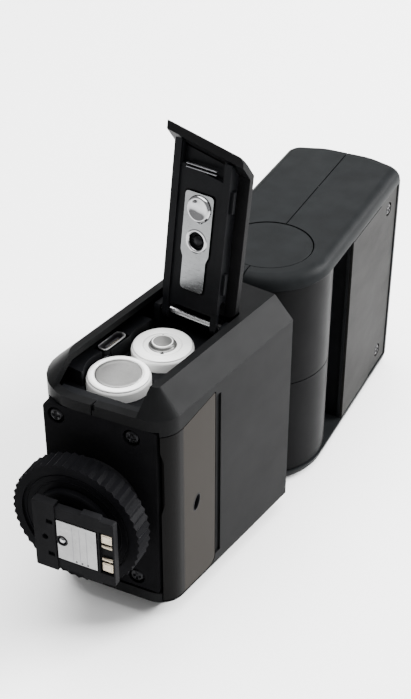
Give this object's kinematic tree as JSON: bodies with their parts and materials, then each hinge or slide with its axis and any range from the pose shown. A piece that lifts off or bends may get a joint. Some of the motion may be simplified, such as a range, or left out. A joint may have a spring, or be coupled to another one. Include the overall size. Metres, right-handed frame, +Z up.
{
  "type": "shoe-mount flash",
  "caption": "Compact camera flash with a swivelling, tilting head, a ribbed shoe-lock wheel and an open door over a bay of round cells.",
  "frame": {"origin": "on the resting plane, under the middle of the bounding box", "axes": "+Z up from the narrow side it lies on; the body runs along Y with the shoe foot at -Y and the flash head at +Y; +X is the front (sensor window) face, -X the display face"},
  "size_m": [0.0435, 0.1412, 0.1041],
  "materials": {
    "shell_plastic": "fine satin grain",
    "black_plastic": "fine satin grain",
    "window_plastic": "smoked gloss",
    "panel_plastic": "satin",
    "lens_plastic": "polished",
    "clear_plastic": "ribbed clear",
    "card_white": "matt white",
    "cell_jacket": "white sleeve with bare metal ends",
    "steel": "brushed",
    "bright_steel": "polished",
    "screw_black": "black oxide",
    "contact_gold": "gold plated",
    "board_green": "lacquered board"
  },
  "bodies": {
    "flash_body": {"front_shell": "shell_plastic", "back_shell": "shell_plastic", "end_plate": "shell_plastic", "end_screw_1": "screw_black", "end_screw_2": "screw_black", "end_screw_3": "screw_black", "end_screw_4": "screw_black", "sensor_window": "window_plastic", "sensor_lens": "lens_plastic", "battery_tray": "black_plastic", "tray_screw": "steel", "charge_socket": "steel", "cell_spring": "steel", "cell_contact": "steel", "control_board": "board_green", "power_board": "board_green", "display_lens": "lens_plastic", "swivel_collar": "black_plastic", "shoe_foot": "black_plastic", "contact_plate": "steel", "contact_pad_1": "contact_gold", "contact_pad_2": "contact_gold", "contact_pad_3": "contact_gold", "contact_pad_4": "contact_gold"},
    "door_hinge": {"hinge_pin": "steel"},
    "battery_door": {"door_skin": "black_plastic", "door_frame": "black_plastic", "door_contact": "bright_steel"},
    "near_cell": {"cell_near": "cell_jacket"},
    "far_cell": {"cell_far": "cell_jacket"},
    "wheel": {"lock_wheel": "black_plastic"},
    "collar": {"lock_collar": "black_plastic"},
    "pin": {"lock_pin": "steel"},
    "barrel": {"barrel_lower": "shell_plastic", "barrel_upper": "shell_plastic", "swivel_clip": "steel", "pivot_cap_lower": "shell_plastic", "pivot_cap_upper": "shell_plastic", "main_capacitor": "black_plastic"},
    "head": {"head_front_shell": "shell_plastic", "head_back_shell": "shell_plastic", "head_bulkhead": "black_plastic", "label_panel": "panel_plastic", "strip_plate": "panel_plastic", "strip_screw_1": "screw_black", "strip_screw_2": "screw_black", "lens_bezel": "black_plastic", "fresnel_lens": "clear_plastic"},
    "diffuser": {"wide_panel": "clear_plastic"},
    "card": {"bounce_card": "card_white"},
    "zoom_carriage": {"reflector": "bright_steel", "flash_tube": "clear_plastic"},
    "button_1": {"mode_button_1": "shell_plastic"},
    "button_2": {"mode_button_2": "shell_plastic"},
    "button_3": {"mode_button_3": "shell_plastic"},
    "dial": {"select_dial": "shell_plastic"},
    "set_key": {"set_button": "shell_plastic"},
    "test_key": {"test_button": "shell_plastic"},
    "power_switch": {"power_slider": "shell_plastic"}
  },
  "joints": [
    {"name": "door_hinge_turn", "type": "hinge", "parent": "flash_body", "child": "door_hinge", "pos_m": [0.00425, -0.0176, 0.0594], "axis": [-1, 0, 0], "range_deg": [-99, 0]},
    {"name": "door_slide", "type": "slide", "parent": "door_hinge", "child": "battery_door", "axis": [0, 0.1564, 0.9877], "range_m": [-0.0055, 0]},
    {"name": "near_cell_lift", "type": "slide", "parent": "flash_body", "child": "near_cell", "axis": [0, 0, 1], "range_m": [0, 0.045]},
    {"name": "far_cell_lift", "type": "slide", "parent": "flash_body", "child": "far_cell", "axis": [0, 0, 1], "range_m": [0, 0.045]},
    {"name": "wheel_turn", "type": "hinge", "parent": "flash_body", "child": "wheel", "pos_m": [0.00543, -0.0615, 0.0312], "axis": [0.1685, -0.9857, 0], "range_deg": [0, 360]},
    {"name": "collar_travel", "type": "slide", "parent": "flash_body", "child": "collar", "axis": [0.1685, -0.9857, 0], "range_m": [0, 0.0012]},
    {"name": "pin_travel", "type": "slide", "parent": "flash_body", "child": "pin", "axis": [0.1685, -0.9857, 0], "range_m": [0, 0.0015]},
    {"name": "head_swivel", "type": "hinge", "parent": "flash_body", "child": "barrel", "pos_m": [0.00305, -0.0025, 0.0312], "axis": [0, 1, 0], "range_deg": [-180, 90]},
    {"name": "head_tilt", "type": "hinge", "parent": "barrel", "child": "head", "pos_m": [0.00305, 0.0156, 0.0312], "axis": [0, 0, -1], "range_deg": [0, 97]},
    {"name": "diffuser_pull", "type": "slide", "parent": "head", "child": "diffuser", "axis": [-0.1685, 0.9857, 0], "range_m": [0, 0.028]},
    {"name": "card_pull", "type": "slide", "parent": "head", "child": "card", "axis": [-0.1685, 0.9857, 0], "range_m": [0, 0.028]},
    {"name": "zoom_travel", "type": "slide", "parent": "head", "child": "zoom_carriage", "axis": [-0.1685, 0.9857, 0], "range_m": [-0.009, 0]},
    {"name": "mode_key_1", "type": "slide", "parent": "flash_body", "child": "button_1", "axis": [1, 0, 0], "range_m": [0, 0.0006], "stiffness_N_per_m": 400, "springref_m": -0.0004},
    {"name": "mode_key_2", "type": "slide", "parent": "flash_body", "child": "button_2", "axis": [1, 0, 0], "range_m": [0, 0.0006], "stiffness_N_per_m": 400, "springref_m": -0.0004},
    {"name": "mode_key_3", "type": "slide", "parent": "flash_body", "child": "button_3", "axis": [1, 0, 0], "range_m": [0, 0.0006], "stiffness_N_per_m": 400, "springref_m": -0.0004},
    {"name": "set_key_press", "type": "slide", "parent": "flash_body", "child": "set_key", "axis": [1, 0, 0], "range_m": [0, 0.0006], "stiffness_N_per_m": 400, "springref_m": -0.0004},
    {"name": "test_key_press", "type": "slide", "parent": "flash_body", "child": "test_key", "axis": [1, 0, 0], "range_m": [0, 0.0005], "stiffness_N_per_m": 400, "springref_m": -0.0004},
    {"name": "dial_turn", "type": "hinge", "parent": "flash_body", "child": "dial", "pos_m": [-0.01325, -0.0407, 0.0312], "axis": [-1, 0, 0], "continuous": true},
    {"name": "power_slide", "type": "slide", "parent": "flash_body", "child": "power_switch", "axis": [0, 0, 1], "range_m": [0, 0.003]}
  ],
  "couplings": [
    {"joint": "wheel_turn", "follows": "collar_travel", "rad_per_m": 5230.8},
    {"joint": "pin_travel", "follows": "collar_travel", "ratio": 1.2488}
  ]
}
